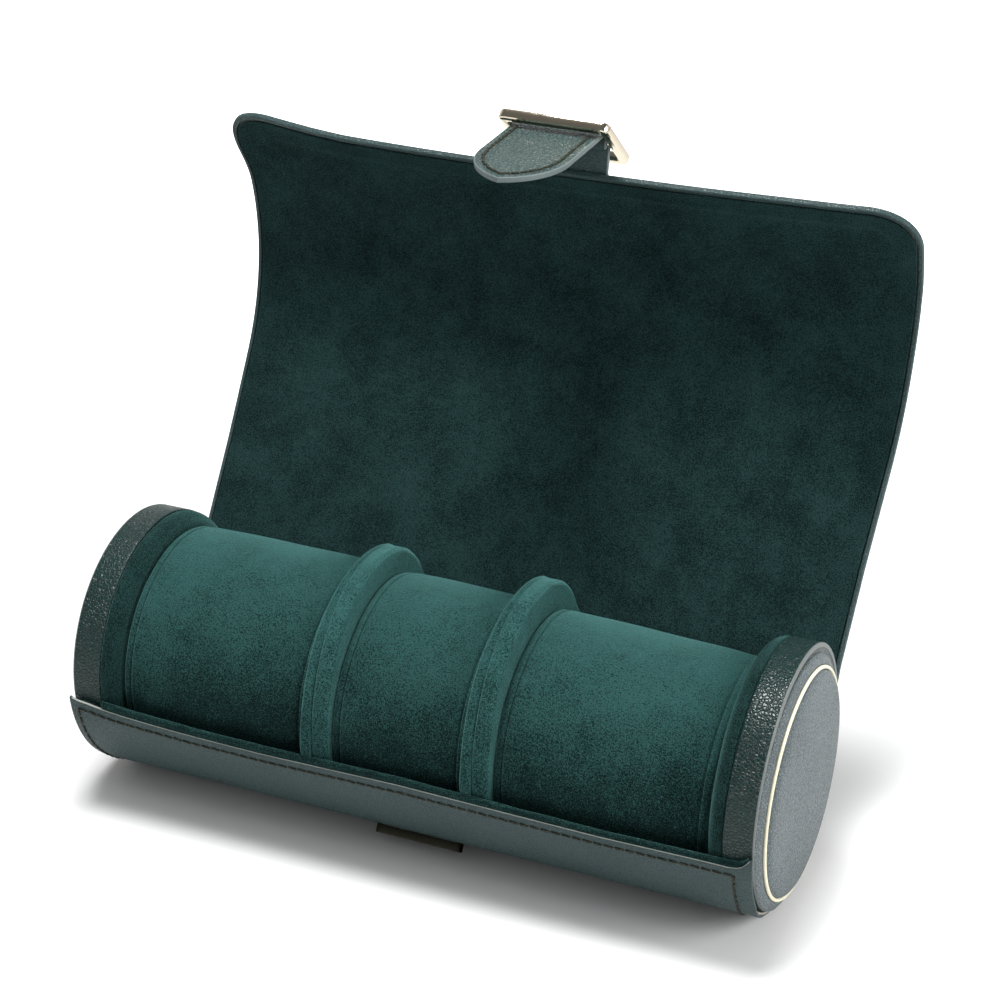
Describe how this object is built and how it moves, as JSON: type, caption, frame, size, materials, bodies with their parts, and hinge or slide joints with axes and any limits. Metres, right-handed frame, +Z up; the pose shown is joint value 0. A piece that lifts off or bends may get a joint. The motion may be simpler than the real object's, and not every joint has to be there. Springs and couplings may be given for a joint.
{
  "type": "watch travel case",
  "caption": "Round leather travel roll with lift-out suede watch cushions, standing open with its curved flap up, a buckled strap and a tongue that tucks into a keeper.",
  "frame": {"origin": "on the surface the case stands on, straight below the axis of the roll and midway along it", "axes": "+X along the roll, to the right seen from the front; +Y to the back, where the flap hinges; +Z up"},
  "size_m": [0.2838, 0.1744, 0.2544],
  "materials": {
    "green_leather": "satin",
    "green_suede": "matte",
    "suede_lining": "matte",
    "board": "matte",
    "wood_core": "matte",
    "foam": "matte",
    "cream_piping": "satin",
    "dark_metal": "satin",
    "pale_gold": "gloss"
  },
  "bodies": {
    "case": {"tray_leather": "green_leather", "tray_board": "board", "tray_lining": "suede_lining", "heel_strip": "board", "keeper_bar": "dark_metal", "left_end_facing": "green_suede", "left_end_core": "wood_core", "left_end_rim": "green_leather", "left_end_pad": "foam", "left_end_face": "green_leather", "left_end_piping": "cream_piping", "right_end_facing": "green_suede", "right_end_core": "wood_core", "right_end_rim": "green_leather", "right_end_pad": "foam", "right_end_face": "green_leather", "right_end_piping": "cream_piping", "left_divider_board": "board", "left_divider_main_pad": "green_suede", "left_divider_side_pad": "green_suede", "right_divider_board": "board", "right_divider_main_pad": "green_suede", "right_divider_side_pad": "green_suede"},
    "flap_1": {"flap_leather_1": "green_leather", "flap_board_1": "board", "flap_lining_1": "suede_lining"},
    "flap_2": {"flap_leather_2": "green_leather", "flap_board_2": "board", "flap_lining_2": "suede_lining"},
    "flap_3": {"flap_leather_3": "green_leather", "flap_board_3": "board", "flap_lining_3": "suede_lining"},
    "flap_4": {"flap_leather_4": "green_leather", "flap_board_4": "board", "flap_lining_4": "suede_lining"},
    "flap_5": {"flap_leather_5": "green_leather", "flap_board_5": "board", "flap_lining_5": "suede_lining"},
    "flap_6": {"flap_leather_6": "green_leather", "flap_board_6": "board", "flap_lining_6": "suede_lining", "strap_chape": "green_leather"},
    "tongue_root": {"tongue_root": "green_leather"},
    "tongue_tip": {"tongue_tip": "green_leather"},
    "buckle": {"buckle_frame": "pale_gold", "buckle_bar": "pale_gold"},
    "left_cushion": {"left_cushion_core": "foam", "left_cushion_cover": "green_suede", "left_cushion_ends": "green_suede"},
    "middle_cushion": {"middle_cushion_core": "foam", "middle_cushion_cover": "green_suede", "middle_cushion_ends": "green_suede"},
    "right_cushion": {"right_cushion_core": "foam", "right_cushion_cover": "green_suede", "right_cushion_ends": "green_suede"}
  },
  "joints": [
    {"name": "flap_hinge", "type": "hinge", "parent": "case", "child": "flap_1", "pos_m": [0, 0.05173, 0.06226], "axis": [1, 0, 0], "range_deg": [-20, 42.7]},
    {"name": "flap_bend_1", "type": "hinge", "parent": "flap_1", "child": "flap_2", "pos_m": [0, 0.06497, 0.07983], "axis": [1, 0, 0], "range_deg": [-21.67, 45.7]},
    {"name": "flap_bend_2", "type": "hinge", "parent": "flap_2", "child": "flap_3", "pos_m": [0, 0.08363, 0.10458], "axis": [1, 0, 0], "range_deg": [-13.19, 27.6]},
    {"name": "flap_bend_3", "type": "hinge", "parent": "flap_3", "child": "flap_4", "pos_m": [0, 0.10228, 0.12934], "axis": [1, 0, 0], "range_deg": [-12.68, 26.5]},
    {"name": "flap_bend_4", "type": "hinge", "parent": "flap_4", "child": "flap_5", "pos_m": [0, 0.1176, 0.16122], "axis": [1, 0, 0], "range_deg": [-5.28, 10.7]},
    {"name": "flap_bend_5", "type": "hinge", "parent": "flap_5", "child": "flap_6", "pos_m": [0, 0.11946, 0.19654], "axis": [1, 0, 0], "range_deg": [-5.89, 12]},
    {"name": "tongue_bend", "type": "hinge", "parent": "buckle", "child": "tongue_root", "pos_m": [0, 0.1087, 0.2424], "axis": [1, 0, 0], "range_deg": [-3, 1.7]},
    {"name": "tongue_curl", "type": "hinge", "parent": "tongue_root", "child": "tongue_tip", "pos_m": [0, 0.069, 0.2483], "axis": [1, 0, 0], "range_deg": [-20, 5]},
    {"name": "buckle_swing", "type": "hinge", "parent": "flap_6", "child": "buckle", "pos_m": [0, 0.1087, 0.2424], "axis": [1, 0, 0], "range_deg": [-20, 0]},
    {"name": "left_cushion_lift", "type": "slide", "parent": "case", "child": "left_cushion", "axis": [0, 0.2599, -0.9656], "range_m": [-0.11, 0]},
    {"name": "middle_cushion_lift", "type": "slide", "parent": "case", "child": "middle_cushion", "axis": [0, 0.2599, -0.9656], "range_m": [-0.11, 0]},
    {"name": "right_cushion_lift", "type": "slide", "parent": "case", "child": "right_cushion", "axis": [0, 0.2599, -0.9656], "range_m": [-0.11, 0]}
  ],
  "couplings": [
    {"joint": "flap_bend_1", "follows": "flap_hinge", "ratio": 1.0585},
    {"joint": "flap_bend_2", "follows": "flap_hinge", "ratio": 0.63466},
    {"joint": "flap_bend_3", "follows": "flap_hinge", "ratio": 0.6089},
    {"joint": "flap_bend_4", "follows": "flap_hinge", "ratio": 0.23888},
    {"joint": "flap_bend_5", "follows": "flap_hinge", "ratio": 0.26932},
    {"joint": "tongue_bend", "follows": "flap_hinge", "ratio": -0.058548}
  ]
}
